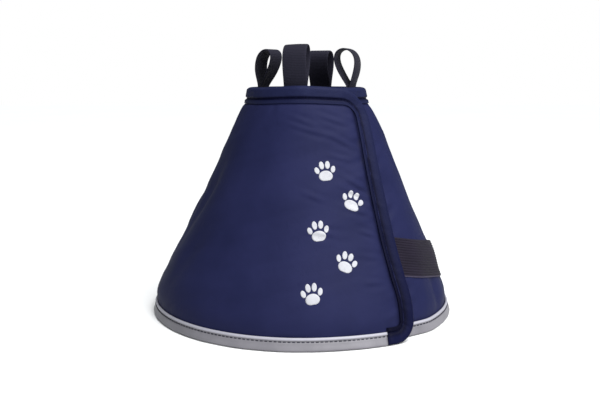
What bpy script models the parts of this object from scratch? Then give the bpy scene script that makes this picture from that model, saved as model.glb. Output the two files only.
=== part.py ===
"""Soft recovery cone (elizabethan collar), standing on its wide hem.

Metres, +Z up. The origin is on the floor at the middle of the hem.
A turn is an azimuth in degrees: 0 at the front (-Y), 90 at the right (+X).
The wall is one padded panel wrapped a little over once round: it starts at
its hidden end, goes right, back and left, and ends in the flap, whose turn
is past 360, outside the hidden end.
"""
import math
from collections import namedtuple

import bpy
import numpy as np
from mathutils import Vector

COLLECTION = "elizabethan_collar"

# Cone, measured to the middle of the padded wall
HEIGHT = 0.238
HEM_RADIUS = 0.1565
NECK_RADIUS = 0.0592
NECK_SHIFT = 0.006
PADDING = 0.005

# Room between two soft pieces, over the padded wall's faces, and between the
# wall's raw edge and the bottom of the tape folded round it
CLEARANCE = 0.00035
WALL_ROOM = 0.0006
EDGE_RELIEF = 0.002

# Cloth binding of the neck, the flap and the hidden end, and tape of the hem
BINDING_WIDTH = 0.0165
BINDING_WALL = 0.0014
TAPE_WIDTH = 0.013
TAPE_WALL = 0.0012
FOLD_ROUND = 0.002

# Wrap: the flap's edge is measured round the wall from the front line
HIDDEN_END_TURN = 4.0
HEM_REACH = 0.115
NECK_REACH = 0.061
HEM_CORNER = 0.021
NECK_CORNER = 0.028
HEM_TURN_IN = 0.011
FLAP_LIFT = 0.0055
LIFT_START, LIFT_SPAN = 10.0, 35.0
TUCK_RUN = 0.036

# Neck loops of flat webbing
WEBBING_WIDTH = 0.025
WEBBING_THICKNESS = 0.0018
WEBBING_SLIT = 0.0005
LOOP_SEWN = 0.014
LOOP_RISE = 0.042
LOOP_OPENING = 0.022
LOOP_LEAN = 0.010
LOOP_TAPER = 1.5

# Closure strap, measured at the middle of its width
STRAP_WIDTH = 0.042
STRAP_THICKNESS = 0.0018
STRAP_HEIGHT = 0.078
STRAP_FALL = 0.032
STRAP_GAPE = 0.0015
STRAP_START_TURN = 37.5
STRAP_END_TURN = 105.0
# Shares of the strap's length: where its top edge starts to gape, how long it
# takes to open, and how long to close again before its end
GAPE_START, GAPE_OPENS, GAPE_CLOSES = 0.15, 0.40, 0.25

# Fineness of the facets
CORNER_STEPS = 5
TUCKED_STEPS = 9
ROUND_STEP = 7.5
FLAP_STEPS = 4
LOOP_STEPS = 24
STRAP_STEPS = 15
STRAP_COLUMNS = 5

# height is a share of HEIGHT; flare a share of the way from NECK_RADIUS to
# HEM_RADIUS; reach a share of the way from NECK_REACH to HEM_REACH
Section = namedtuple("Section", "height flare reach")
SECTIONS = (
    Section(0.000, 1.000, 1.000),
    Section(0.055, 0.977, 0.990),
    Section(0.109, 0.952, 0.970),
    Section(0.168, 0.902, 0.925),
    Section(0.252, 0.809, 0.800),
    Section(0.336, 0.703, 0.680),
    Section(0.504, 0.517, 0.485),
    Section(0.672, 0.332, 0.316),
    Section(0.840, 0.152, 0.169),
    Section(0.900, 0.085, 0.105),
    Section(0.940, 0.043, 0.060),
    Section(0.970, 0.018, 0.030),
    Section(1.000, 0.000, 0.000),
)

# turn and wide are degrees; height and tall are shares of HEIGHT; depth is a
# share of PADDING, inwards
Dent = namedtuple("Dent", "turn height depth wide tall")
DENTS = (
    Dent(turn=285, height=0.58, depth=0.7, wide=16, tall=0.20),
    Dent(turn=300, height=0.30, depth=-0.4, wide=20, tall=0.18),
    Dent(turn=272, height=0.09, depth=-0.4, wide=24, tall=0.07),
    Dent(turn=200, height=0.45, depth=0.6, wide=26, tall=0.25),
    Dent(turn=62, height=0.17, depth=0.5, wide=10, tall=0.09),
    Dent(turn=90, height=0.14, depth=0.25, wide=20, tall=0.10),
    Dent(turn=82, height=0.45, depth=0.25, wide=30, tall=0.22),
    Dent(turn=90, height=1.00, depth=0.6, wide=38, tall=0.09),
)

# rise, opening and lean are shares of LOOP_RISE, LOOP_OPENING and LOOP_LEAN
Loop = namedtuple("Loop", "name turn rise opening lean")
LOOPS = (
    Loop("neck_loop_front", 346, 1.00, 0.90, 0.50),
    Loop("neck_loop_right", 78, 0.94, 1.00, 0.95),
    Loop("neck_loop_back", 163, 0.92, 0.90, 0.60),
    Loop("neck_loop_left", 250, 0.93, 0.85, 1.15),
)

Finish = namedtuple("Finish", "color roughness metallic")
NAVY_CLOTH = Finish((0.022, 0.025, 0.085), 0.55, 0.0)
NAVY_BINDING = Finish((0.017, 0.020, 0.066), 0.5, 0.0)
REFLECTIVE_TAPE = Finish((0.38, 0.38, 0.40), 0.45, 0.1)
BLACK_WEBBING = Finish((0.020, 0.020, 0.028), 0.8, 0.0)
RIBBED_STRAP = Finish((0.028, 0.028, 0.040), 0.7, 0.0)

BINDING_HALF = PADDING / 2 + WALL_ROOM + BINDING_WALL
TAPE_HALF = PADDING / 2 + WALL_ROOM + TAPE_WALL
WALL_INSET = BINDING_WALL + EDGE_RELIEF
STRAP_SEAT = PADDING / 2 + WALL_ROOM + STRAP_THICKNESS / 2


def along(height, column):
    """Value of one column of SECTIONS at a height in metres."""
    shares = [section.height for section in SECTIONS]
    values = [getattr(section, column) for section in SECTIONS]
    return float(np.interp(height / HEIGHT, shares, values))


def wall_radius(height):
    """Radius of the middle of the wall, without overlap and dents."""
    return NECK_RADIUS + (HEM_RADIUS - NECK_RADIUS) * along(height, "flare")


def stretch(height):
    """Level distance across the sloping wall for each metre of thickness."""
    low = max(height - BINDING_WIDTH / 4, 0)
    high = min(height + BINDING_WIDTH / 4, HEIGHT)
    return math.hypot(1, (wall_radius(low) - wall_radius(high)) / (high - low))


def flap_line(height):
    """Length round the wall from the front line to the flap's edge."""
    return NECK_REACH + (HEM_REACH - NECK_REACH) * along(height, "reach")


def flap_turn(inset, height):
    """Turn of the point that lies inset from the flap's straight edge."""
    radius = wall_radius(height) + FLAP_LIFT
    return 360 + math.degrees((flap_line(height) - inset) / radius)


SECTION_HEIGHTS = [section.height * HEIGHT for section in SECTIONS]
LAYER_STEP = BINDING_HALF + max(BINDING_HALF + CLEARANCE, STRAP_SEAT + STRAP_THICKNESS / 2 + CLEARANCE)
LAYER_SHIFT = LAYER_STEP * max(stretch(height) for height in SECTION_HEIGHTS)


def smooth(share):
    """Ramp from 0 to 1 that starts and ends level."""
    share = min(max(share, 0), 1)
    return share * share * (3 - 2 * share)


def layer_offset(turn, height):
    """Level shift of a layer: the flap lifts, what lies under it is tucked in.

    Past the flap's edge the tucked layer comes out again within TUCK_RUN.
    """
    lift = FLAP_LIFT * smooth((turn - 360 - LIFT_START) / LIFT_SPAN)
    under = FLAP_LIFT * smooth((turn - LIFT_START) / LIFT_SPAN) - LAYER_SHIFT
    past_flap = math.radians(turn + 360 - flap_turn(0, height)) * wall_radius(height)
    return lift + under * (1 - smooth(past_flap / TUCK_RUN))


def dent_offset(turn, height):
    """Sum of the soft dents and swells, each a bell in turn and in height."""
    total = 0
    for dent in DENTS:
        across = (turn - dent.turn) / dent.wide
        upward = (height / HEIGHT - dent.height) / dent.tall
        total -= dent.depth * PADDING * math.exp(-across * across - upward * upward)
    return total


def place(turn, height, out=0):
    """Point of the wrap at a turn and height, out from the wall's middle."""
    radius = wall_radius(height) + layer_offset(turn, height) + dent_offset(turn, height)
    radius += out * stretch(height)
    angle = math.radians(turn)
    middle = NECK_SHIFT * height / HEIGHT
    return Vector((middle + radius * math.sin(angle), -radius * math.cos(angle), height))


def hidden_turn(inset, height):
    """Turn of the point that lies inset from the hidden end's straight edge."""
    radius = wall_radius(height) - LAYER_SHIFT
    return HIDDEN_END_TURN + math.degrees(inset / radius)


def wrap_turns(start, end):
    """Turns from start, all the way round, to end."""
    tucked = np.linspace(start, 90, TUCKED_STEPS + 1)
    round_turns = np.arange(90, 360, ROUND_STEP)[1:]
    flap = np.linspace(360, end, FLAP_STEPS + 1)
    return [*tucked, *round_turns, *flap]


def corner_inset(height):
    """How far the rounded end of the padded wall lies in from the flap's line."""
    for radius, depth in ((HEM_CORNER, height), (NECK_CORNER, HEIGHT - height)):
        if depth < radius:
            inner = radius - WALL_INSET
            return radius - math.sqrt(max(inner ** 2 - (radius - depth) ** 2, 0))
    return WALL_INSET


def quarter_angles():
    """Angles of a quarter circle in equal steps."""
    return [math.pi / 2 * step / CORNER_STEPS for step in range(CORNER_STEPS + 1)]


def wall_heights():
    """Heights of the panel's rows, close together at the rounded corners."""
    low = [HEM_CORNER - (HEM_CORNER - WALL_INSET) * math.cos(angle) for angle in quarter_angles()]
    top = HEIGHT - NECK_CORNER
    high = [top + (NECK_CORNER - WALL_INSET) * math.sin(angle) for angle in quarter_angles()]
    middle = [height for height in SECTION_HEIGHTS
              if HEM_CORNER + WALL_INSET < height < top - WALL_INSET]
    return low + middle + high


def wall_row(height):
    """One level row of the padded wall, from its hidden end to the flap."""
    end = corner_inset(height)
    turns = [hidden_turn(WALL_INSET, height), hidden_turn(BINDING_WIDTH / 2, height)]
    turns += wrap_turns(hidden_turn(BINDING_WIDTH, height), flap_turn(end + BINDING_WIDTH, height))
    turns += [flap_turn(end + BINDING_WIDTH / 2, height), flap_turn(end, height)]
    return [place(turn, height) for turn in turns]


def fold_profile(width, half):
    """Section of a folded tape: depth in from the edge, and distance out."""
    outer = [(width, half), (width / 2, half), (FOLD_ROUND, half), (0, half / 2)]
    return outer + [(depth, -out) for depth, out in reversed(outer)]


def level_fold(profile, edge_height, upward, start_turn, end_turn):
    """Fold along a level edge; upward is 1 at the hem and -1 at the neck.

    The neck's sections run the other way, so that both face outwards.
    """
    columns = []
    for depth, out in profile:
        height = edge_height + upward * depth
        turns = wrap_turns(start_turn(height), end_turn(height))
        columns.append([place(turn, height, out) for turn in turns])
    sections = [list(section) for section in zip(*columns)]
    return sections[::upward]


def after_hidden_end(height):
    """Turn where the level tapes start, next to the hidden end's binding."""
    return hidden_turn(BINDING_WIDTH + CLEARANCE, height)


def before_neck_corner(height):
    """Turn where the neck binding ends, next to the flap binding."""
    return flap_turn(NECK_CORNER + CLEARANCE, height)


def before_hem_corner(height):
    """Turn where the hem tape ends, next to the flap binding."""
    return flap_turn(HEM_CORNER + HEM_TURN_IN + CLEARANCE, height)


def flap_edge():
    """Path round the flap: inset from its line, height, and inward direction."""
    path = [(HEM_CORNER + HEM_TURN_IN, 0, 0)]
    for angle in quarter_angles():
        path.append((HEM_CORNER * (1 - math.sin(angle)), HEM_CORNER * (1 - math.cos(angle)), angle))
    top = HEIGHT - NECK_CORNER
    path += [(0, height, math.pi / 2) for height in SECTION_HEIGHTS
             if HEM_CORNER + FOLD_ROUND < height < top - FOLD_ROUND]
    for angle in quarter_angles():
        path.append((NECK_CORNER * (1 - math.cos(angle)), top + NECK_CORNER * math.sin(angle),
                     math.pi / 2 + angle))
    return path


def flap_fold(profile):
    """Fold round the flap's edge and its two rounded corners."""
    rows = []
    for inset, height, angle in flap_edge():
        row = []
        for depth, out in profile:
            level = height + depth * math.cos(angle)
            turn = flap_turn(inset + depth * math.sin(angle), level)
            row.append(place(turn, level, out))
        rows.append(row)
    return rows


def hidden_fold(profile):
    """Fold down the straight edge of the hidden end."""
    return [[place(hidden_turn(depth, height), height, out) for depth, out in profile]
            for height in reversed(SECTION_HEIGHTS)]


def teardrop(share):
    """Rise and sideways swing, each 0 to 1, along a strip folded to a loop."""
    angle = 2 * math.pi * share
    widest = 2 * ((LOOP_TAPER + 1) / (LOOP_TAPER + 2)) ** ((LOOP_TAPER + 1) / 2)
    widest /= math.sqrt(LOOP_TAPER + 2)
    rise = (1 - math.cos(angle)) / 2
    swing = math.sin(angle) * math.sin(angle / 2) ** LOOP_TAPER / widest
    return rise, swing


def loop_rows(loop):
    """Strip that goes up the neck's inside, round the loop and down again."""
    wall_side = -(BINDING_HALF + CLEARANCE + WEBBING_THICKNESS / 2)
    free_side = wall_side - WEBBING_THICKNESS - WEBBING_SLIT
    neck_radius = wall_radius(HEIGHT) + wall_side
    half = math.degrees(WEBBING_WIDTH / 2 / neck_radius)
    turns = (loop.turn - half, loop.turn, loop.turn + half)
    angle = math.radians(loop.turn)
    outward = Vector((math.sin(angle), -math.cos(angle), 0))
    sewn = (HEIGHT - LOOP_SEWN, HEIGHT - LOOP_SEWN / 2)
    rows = [[place(turn, height, wall_side) for turn in turns] for height in sewn]
    for step in range(LOOP_STEPS + 1):
        share = step / LOOP_STEPS
        rise, swing = teardrop(share)
        side = wall_side + (free_side - wall_side) * smooth(share)
        base = [place(turn, HEIGHT, side) for turn in turns]
        flat = base[1].dot(outward)
        reach = swing * loop.opening * (LOOP_OPENING - WEBBING_THICKNESS) / 2
        reach -= rise * loop.lean * LOOP_LEAN
        lift = Vector((0, 0, rise * loop.rise * LOOP_RISE))
        rows.append([point + outward * (reach + rise * (flat - point.dot(outward))) + lift
                     for point in base])
    rows += [[place(turn, height, free_side) for turn in turns] for height in reversed(sewn)]
    return rows


def strap_rows():
    """Straight belt that leaves the flap, falls slightly and gapes at its top."""
    rows = []
    for turn in np.linspace(STRAP_START_TURN, STRAP_END_TURN, STRAP_STEPS + 1):
        share = (turn - STRAP_START_TURN) / (STRAP_END_TURN - STRAP_START_TURN)
        middle = STRAP_HEIGHT - STRAP_FALL * share
        opening = smooth((share - GAPE_START) / GAPE_OPENS)
        gape = STRAP_GAPE * opening * smooth((1 - share) / GAPE_CLOSES)
        wall_slope = math.sqrt(stretch(middle) ** 2 - 1)
        rise = STRAP_WIDTH / math.hypot(1, wall_slope - gape * stretch(middle) / STRAP_WIDTH)
        row = []
        for across in np.linspace(-0.5, 0.5, STRAP_COLUMNS):
            row.append(place(turn, middle + across * rise, STRAP_SEAT + gape * (across + 0.5)))
        rows.append(row)
    return rows


def make_material(name, finish):
    material = bpy.data.materials.new(name)
    material.use_nodes = True
    shader = material.node_tree.nodes["Principled BSDF"]
    shader.inputs["Base Color"].default_value = (*finish.color, 1)
    shader.inputs["Roughness"].default_value = finish.roughness
    shader.inputs["Metallic"].default_value = finish.metallic
    return material


def sew(name, rows, thickness, offset, finish, collection):
    """Open surface through a grid of points, given its thickness by Solidify.

    Offset 0 grows both ways from the grid, and -1 grows inside it only.
    """
    across = len(rows[0])
    points = [point for row in rows for point in row]
    faces = []
    for row in range(len(rows) - 1):
        for column in range(across - 1):
            corner = row * across + column
            faces.append((corner, corner + 1, corner + across + 1, corner + across))
    mesh = bpy.data.meshes.new(name)
    mesh.from_pydata(points, [], faces)
    mesh.shade_smooth()
    mesh.materials.append(make_material(name, finish))
    piece = bpy.data.objects.new(name, mesh)
    collection.objects.link(piece)
    shell = piece.modifiers.new("thickness", "SOLIDIFY")
    shell.thickness = thickness
    shell.offset = offset
    shell.use_even_offset = True
    shell.use_rim = True
    return piece


def build():
    for leftover in list(bpy.data.objects):
        bpy.data.objects.remove(leftover, do_unlink=True)
    collection = bpy.data.collections.new(COLLECTION)
    bpy.context.scene.collection.children.link(collection)

    sew("padded_panel", [wall_row(height) for height in wall_heights()], PADDING, 0,
        NAVY_CLOTH, collection)

    binding = fold_profile(BINDING_WIDTH, BINDING_HALF)
    tape = fold_profile(TAPE_WIDTH, TAPE_HALF)
    sew("neck_binding", level_fold(binding, HEIGHT, -1, after_hidden_end, before_neck_corner),
        BINDING_WALL, -1, NAVY_BINDING, collection)
    sew("hem_tape", level_fold(tape, 0, 1, after_hidden_end, before_hem_corner),
        TAPE_WALL, -1, REFLECTIVE_TAPE, collection)
    sew("flap_binding", flap_fold(binding), BINDING_WALL, -1, NAVY_BINDING, collection)
    sew("inner_end_binding", hidden_fold(binding), BINDING_WALL, -1, NAVY_BINDING, collection)

    for loop in LOOPS:
        sew(loop.name, loop_rows(loop), WEBBING_THICKNESS, 0, BLACK_WEBBING, collection)
    sew("closure_strap", strap_rows(), STRAP_THICKNESS, 0, RIBBED_STRAP, collection)


build()
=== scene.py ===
"""Soft recovery cone (elizabethan collar), standing on its wide hem.

Metres, +Z up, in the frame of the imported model. A turn is an azimuth in
degrees: 0 at the front (-Y), 90 at the right (+X). The wall starts at its
hidden end, goes right, back and left, and ends in the flap past 360.
"""
import math
from collections import namedtuple

import bpy
import numpy as np
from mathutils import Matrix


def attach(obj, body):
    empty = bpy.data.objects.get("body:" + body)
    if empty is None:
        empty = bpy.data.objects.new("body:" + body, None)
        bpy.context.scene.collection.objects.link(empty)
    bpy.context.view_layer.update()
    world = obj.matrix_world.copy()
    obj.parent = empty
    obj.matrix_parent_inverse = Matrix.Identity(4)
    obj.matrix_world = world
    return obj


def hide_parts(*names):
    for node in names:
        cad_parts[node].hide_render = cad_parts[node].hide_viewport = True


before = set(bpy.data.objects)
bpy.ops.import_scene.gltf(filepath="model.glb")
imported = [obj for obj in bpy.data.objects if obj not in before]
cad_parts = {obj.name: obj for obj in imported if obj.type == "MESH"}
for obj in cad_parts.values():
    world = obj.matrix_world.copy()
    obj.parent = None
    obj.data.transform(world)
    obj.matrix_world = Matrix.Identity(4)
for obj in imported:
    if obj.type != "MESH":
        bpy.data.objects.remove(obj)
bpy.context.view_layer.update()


def table(columns, *rows):
    """Rows whose columns have names."""
    return [namedtuple("Row", columns)(*row) for row in rows]


class Bump(namedtuple("Bump", "middle width rise")):
    """A bell over a line."""

    def at(self, x):
        return self.rise * bell(x - self.middle, self.width)


class Wave(namedtuple("Wave", "rise pitch seed")):
    """A smooth random line of a given height and pitch."""

    def at(self, x):
        return self.rise * ripple(x, self.pitch, self.seed)


# Cone, measured to the middle of the padded wall
HEIGHT = 0.238
HEM_RADIUS = 0.1565
NECK_RADIUS = 0.0592
NECK_SHIFT = 0.006
PADDING = 0.005
CLEARANCE = 0.00035
WALL_ROOM = 0.0006
EDGE_RELIEF = 0.002

# Bindings and tape
BINDING_WIDTH = 0.0165
BINDING_WALL = 0.0014
TAPE_WIDTH = 0.013
TAPE_WALL = 0.0012

# Wrap
HIDDEN_END_TURN = 4.0
HEM_REACH = 0.115
NECK_REACH = 0.061
HEM_CORNER = 0.021
NECK_CORNER = 0.028
HEM_TURN_IN = 0.011
FLAP_LIFT = 0.0055
LIFT_START, LIFT_SPAN = 10.0, 35.0
TUCK_RUN = 0.036

# Neck loops
WEBBING_WIDTH = 0.025
WEBBING_THICKNESS = 0.0018
WEBBING_SLIT = 0.0005
LOOP_SEWN = 0.014
LOOP_RISE = 0.042
LOOP_OPENING = 0.022
LOOP_LEAN = 0.01
LOOP_TAPER = 1.5

# Closure strap
STRAP_WIDTH = 0.042
STRAP_THICKNESS = 0.0018
STRAP_HEIGHT = 0.078
STRAP_FALL = 0.032
STRAP_GAPE = 0.0015
STRAP_START_TURN, STRAP_END_TURN = 37.5, 105.0
GAPE_START, GAPE_OPENS, GAPE_CLOSES = 0.15, 0.4, 0.25
STRAP_RIBS = 15
RIB_DEPTH = 0.0007

# Half thickness of the padded wall at its seams and between them; the cloth is
# clear of the seam past SEAM_CLEARS, and SEAM_BLEND rounds the seams' corners
SEAM_HALF = 0.0012
PUFF_HALF = 0.0031
PUFF_REACH = 0.0055
SEAM_CLEARS = 0.003
SEAM_BLEND = 0.004

# Sewing: a stitch line lies this far in from the edge that is laid on the wall
STITCH_LINE = 0.0048
TAPE_STITCH_LINE = 0.0038
Stitch = namedtuple("Stitch", "pitch length radius")
BINDING_STITCH = Stitch(0.0036, 0.0028, 0.0003)
TAPE_STITCH = Stitch(0.0043, 0.0026, 0.00075)
BEAD_SIDES = 6
BEAD_RINGS = np.array([-1, -0.8, 0, 0.8, 1])
BEAD_END, BEAD_STANDS, BEAD_DIPS = 0.04, 0.6, 1.5

# Points of the grids
PANEL_ROWS, PANEL_COLUMNS, FLAP_COLUMNS = 160, 180, 126
NOSE_POINTS, FLAT_POINTS = 9, 30
NECK_ROWS, CORNER_ROWS, STRAIGHT_ROWS = 300, 26, 150
HIDDEN_ROWS, TAPE_ROWS = 110, 520
SEWN_ROWS, LOOP_ROWS, LOOP_COLUMNS = 9, 90, 25
STRAP_ROWS, RIB_COLUMNS = 120, 8
PAD_RINGS, PAD_SIDES = 8, 36

# Shape by height: shares of HEIGHT, of the radii and of the flap's reaches
HEIGHTS = np.array([0, 0.055, 0.109, 0.168, 0.252, 0.336, 0.504, 0.672, 0.84, 0.9, 0.94, 0.97, 1])
FLARES = np.array([1, 0.977, 0.952, 0.902, 0.809, 0.703, 0.517, 0.332, 0.152, 0.085, 0.043, 0.018, 0])
REACHES = np.array([1, 0.99, 0.97, 0.925, 0.8, 0.68, 0.485, 0.316, 0.169, 0.105, 0.06, 0.03, 0])

# turn and wide are degrees; height and tall are shares of HEIGHT; depth is a
# share of PADDING, inwards
DENTS = table(
    "turn height depth wide tall",
    (285, 0.58, 0.7, 16, 0.2), (300, 0.3, -0.4, 20, 0.18), (272, 0.09, -0.4, 24, 0.07),
    (200, 0.45, 0.6, 26, 0.25), (62, 0.17, 0.5, 10, 0.09), (90, 0.14, 0.25, 20, 0.1),
    (82, 0.45, 0.25, 30, 0.22), (90, 1.0, 0.6, 38, 0.09),
)

# The neck edge rises and sags, by turn, from RISE_FROM up
NECK_BUMPS = (Bump(352, 30, 0.0022), Bump(411, 16, -0.0028))
RISE_FROM = 0.18

# The strap's tight lower edge presses in: metres by turn, a share by height
PRESS_AROUND = Bump(92, 24, 0.0024)
PRESS_UP = Bump(0.044, 0.015, 1)

# Puckers off the flap's, hidden end's, neck's and hem's seams, each with how
# far it runs sideways for each metre off the seam
PUCKERS = (
    (Wave(0.00085, 0.0058, 11), 0.25), (Wave(0.0004, 0.007, 14), 0),
    (Wave(0.0006, 0.0058, 12), 0.2), (Wave(0.00055, 0.0085, 13), 0),
)
PUCKER_FADE = 0.01

# Under layer past the flap's edge: a valley, and slanting creases
UNDER_VALLEY = Bump(0.002, 0.005, -0.0018)
UNDER_CREASED = Bump(0.004, 0.014, 0.0017)
CREASES, CREASE_SLANT = Wave(1, 0.0078, 15), 0.5

# Billows of the padding: rise and pitch; and the first seed of each face
BILLOWS = ((0.00075, 0.046), (0.00035, 0.019))
OUTER_SEED, INNER_SEED = 20, 30
RIPPLE_DRAWS, BILLOW_DRAWS = 997, 211

# Soft folds of the outer cloth: turn in degrees, the rest in metres; lean is
# the fold's angle above the level in degrees, depth is inwards
FOLDS = table(
    "turn height lean length width depth",
    (286, 0.12, 72, 0.044, 0.011, 0.003), (302, 0.072, 64, 0.034, 0.011, 0.002),
    (268, 0.103, 76, 0.018, 0.004, -0.002), (325, 0.15, 84, 0.06, 0.014, 0.0008),
    (346, 0.06, 80, 0.04, 0.02, 0.0007), (64, 0.034, 78, 0.02, 0.006, 0.0016),
    (80, 0.04, 70, 0.024, 0.006, 0.001), (150, 0.11, 80, 0.06, 0.012, 0.0022),
    (172, 0.06, -74, 0.04, 0.013, 0.0018), (215, 0.14, -70, 0.055, 0.011, 0.0024),
    (228, 0.062, 78, 0.038, 0.013, 0.002), (118, 0.15, -76, 0.045, 0.011, 0.0016),
)

# Wrinkles beside the flap and under the neck: a ridge with a valley on either side
WRINKLES = table(
    "turn height lean length width rise",
    (361, 0.203, -20, 0.016, 0.0042, 0.0008), (366, 0.196, -16, 0.02, 0.0045, 0.001),
    (379, 0.207, -18, 0.015, 0.004, 0.0007), (387, 0.184, -28, 0.012, 0.0045, 0.0008),
    (381, 0.171, -14, 0.011, 0.004, 0.0006), (388, 0.147, -32, 0.014, 0.0045, 0.0009),
    (388, 0.137, -24, 0.013, 0.004, 0.0008), (386, 0.122, -18, 0.014, 0.0045, 0.0008),
    (364, 0.136, -22, 0.011, 0.0045, 0.0005), (369, 0.103, -10, 0.015, 0.005, 0.0006),
    (389, 0.101, -22, 0.009, 0.004, 0.0008), (388, 0.08, -12, 0.01, 0.0045, 0.0006),
    (387, 0.058, -6, 0.01, 0.0045, 0.0006), (72, 0.205, -52, 0.011, 0.0038, 0.0008),
    (80, 0.197, -60, 0.014, 0.004, 0.0008), (66, 0.186, -64, 0.016, 0.0044, 0.0012),
    (74, 0.168, -70, 0.018, 0.0048, 0.001),
)

# The free part of a loop turns about the upright through its foot by twist,
# in degrees, and sways sideways by sway, in metres
LOOPS = table(
    "name turn rise opening lean twist sway",
    ("neck_loop_front", 346, 0.96, 0.9, 0.5, 0, 0.0),
    ("neck_loop_right", 78, 0.94, 1.0, 0.8, -5, 0.0),
    ("neck_loop_back", 163, 0.92, 0.9, 0.6, -6, -0.002),
    ("neck_loop_left", 250, 0.93, 0.8, 1.1, -9, 0.0),
)

# Paw prints on the flap: turn and tilt in degrees, height in metres
PAWS = table(
    "turn height tilt",
    (363.0, 0.05, -8), (377.0, 0.076, 22), (366.0, 0.104, -6), (384.0, 0.13, 24), (371.0, 0.158, -4),
)
PAW_SIZE = 0.0105
PRINT_FILM = 0.00035
PRINT_SUNK = 0.0005
FILM_ROUNDING = 0.96
HEEL_DENT, HEEL_DENT_ANGLE, HEEL_SIZE = 0.16, 0.5, 0.5
# Pads of one print, in shares of PAW_SIZE: centre, half sizes, and turn
PADS = table(
    "across up wide tall tilt",
    (0.0, -0.34, 0.62, 0.48, 0), (-0.74, 0.2, 0.21, 0.31, 22), (-0.28, 0.62, 0.23, 0.35, 8),
    (0.28, 0.62, 0.23, 0.35, -8), (0.74, 0.2, 0.21, 0.31, -22),
)

# Colours, linear: pairs are dark and light
NYLON_TONES = (0.0126, 0.015, 0.054), (0.017, 0.0196, 0.069)
# Painted shade of the panel cloth by the flap's seam and under the flap's edge
NYLON_IN_SEAM_SHADE = (0.0014, 0.0017, 0.011)
BINDING_TONES = (0.0116, 0.0146, 0.051), (0.0154, 0.0188, 0.061)
# Painted shade of the binding: down the flap, deep in from its fold, and along its stitches
BINDING_IN_FLAP_SHADE = (0.003, 0.004, 0.027)
BINDING_IN_SUNK_SHADE = (0.001, 0.0011, 0.009)
BINDING_IN_STITCH_SHADE = (0.002, 0.0024, 0.016)
TAPE_TONES = (0.182, 0.176, 0.198), (0.246, 0.238, 0.264)
# Painted highlight on the hem tape's top edge
TAPE_EDGE_HIGHLIGHT = (0.4, 0.395, 0.45)
WEBBING_TONES = (0.012, 0.0114, 0.0195), (0.026, 0.0248, 0.042)
STRAP_TONES = (0.0104, 0.008, 0.016), (0.0174, 0.0132, 0.0262)
# Painted highlight on the strap's lower edge
STRAP_EDGE_HIGHLIGHT = (0.075, 0.064, 0.105)
PRINT_TONES = (0.4, 0.4, 0.44), (0.5, 0.505, 0.54)
NAVY_THREAD = (0.004, 0.005, 0.026), (0.008, 0.01, 0.044)
GREY_THREAD = (0.012, 0.012, 0.022), (0.05, 0.05, 0.07)
FLOOR_TONES = (0.96, 0.96, 0.96), (0.985, 0.985, 0.985)
FLOOR_BOUNCE = (0.62, 0.62, 0.62)
FLOOR_HALF = 6.0

# Light of the room where the camera doesn't see it, and the lights: a softbox
# has a side in metres and watts, the distant one a spread in degrees
ROOM_LIGHT = (0.85 * 0.17, 0.95 * 0.17, 0.17)
LIGHTS = table(
    "name kind place_at size strength",
    ("key_light", "AREA", (1.0, -1.5, 0.75), 0.9, 13),
    ("front_light", "AREA", (0.25, -1.35, 1.2), 1.1, 11),
    ("top_light", "SUN", (0.62, -0.3, 1.85), 50, 3.05),
)

# Camera: pixels are of a frame FRAME_WIDTH wide, and the horizon lies
# HORIZON_PIXELS above its middle
CAMERA_AT = (-0.0022, -0.87, 0.251)
SENSOR_WIDTH = 36
FRAME_WIDTH, FOCAL_PIXELS, HORIZON_PIXELS = 600, 811, 125.4

BINDING_HALF = PADDING / 2 + WALL_ROOM + BINDING_WALL
WALL_INSET = BINDING_WALL + EDGE_RELIEF
STRAP_SEAT = PADDING / 2 + WALL_ROOM + STRAP_THICKNESS / 2

# Folded tapes: nose is the depth of the rounded fold, lap is how far the laid
# edge stands over the seam, and groove is how deep the stitches pull
Tape = namedtuple("Tape", "width half wall nose lap groove")
BINDING = Tape(BINDING_WIDTH, BINDING_HALF, BINDING_WALL, 0.003, 0.0001, 0.002)
HEM_TAPE = Tape(TAPE_WIDTH, PADDING / 2 + WALL_ROOM + TAPE_WALL, TAPE_WALL, 0.002, 0.0006, 0.0)
FOLD_CREST, FOLD_FALL, GROOVE_WIDTH = 1.04, 0.22, 0.0012
UNDER_NOSE, UNDER_SHORT = 0.9, 0.0001

# Forms across the binding and the tape, by depth, and along the flap, by turn
GATHERED = Bump(0.009, 0.004, 0.1)
GATHERS, GATHER_SLANT = Wave(1, 0.0047, 42), 0.4
FLAP_PRESSED = Bump(0.0105, 0.004, 0.4)
PRESSED_FROM, PRESSED_SPAN = 385, 15
PIPING = Bump(TAPE_WIDTH - 0.0014, 0.001, 0.0006)
TAPE_GROOVE = Bump(TAPE_WIDTH - TAPE_STITCH_LINE, 0.0008, -0.0006)
SELVEDGE = Bump(0.9, 0.07, 0.1)
END_FLAT, END_RUN = 0.4, 0.0045

# Uneven fullness along the tapes and the strap
BINDING_FULLNESS = Wave(0.03, 0.011, 41)
TAPE_BROAD, TAPE_FINE = Wave(0.05, 0.021, 51), Wave(0.03, 0.0085, 52)
STRAP_SWAY, STRAP_RUN = Wave(0.0004, 0.022, 61), 0.2

# Painted shade on the panel's colour: beside the flap's seam, and under the flap's edge
PAINTED_SEAM_SHADE, PAINTED_SEAM_SHADE_FADE = 0.95, 0.0019
PAINTED_UNDER_FLAP_SHADE = Bump(0.001, 0.005, 0.9)


def curve(x, knots, values):
    """Cubic through the knots; its slope at a knot is the mean of the spans beside it."""
    x = np.clip(x, knots[0], knots[-1])
    slopes = np.gradient(values, knots)
    span = np.clip(np.searchsorted(knots, x, side="right") - 1, 0, len(knots) - 2)
    width = knots[span + 1] - knots[span]
    t = (x - knots[span]) / width
    rise = (3 - 2 * t) * t * t
    start = t * (1 - t) ** 2 * width * slopes[span]
    end = t * t * (t - 1) * width * slopes[span + 1]
    return values[span] + rise * (values[span + 1] - values[span]) + start + end


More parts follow.
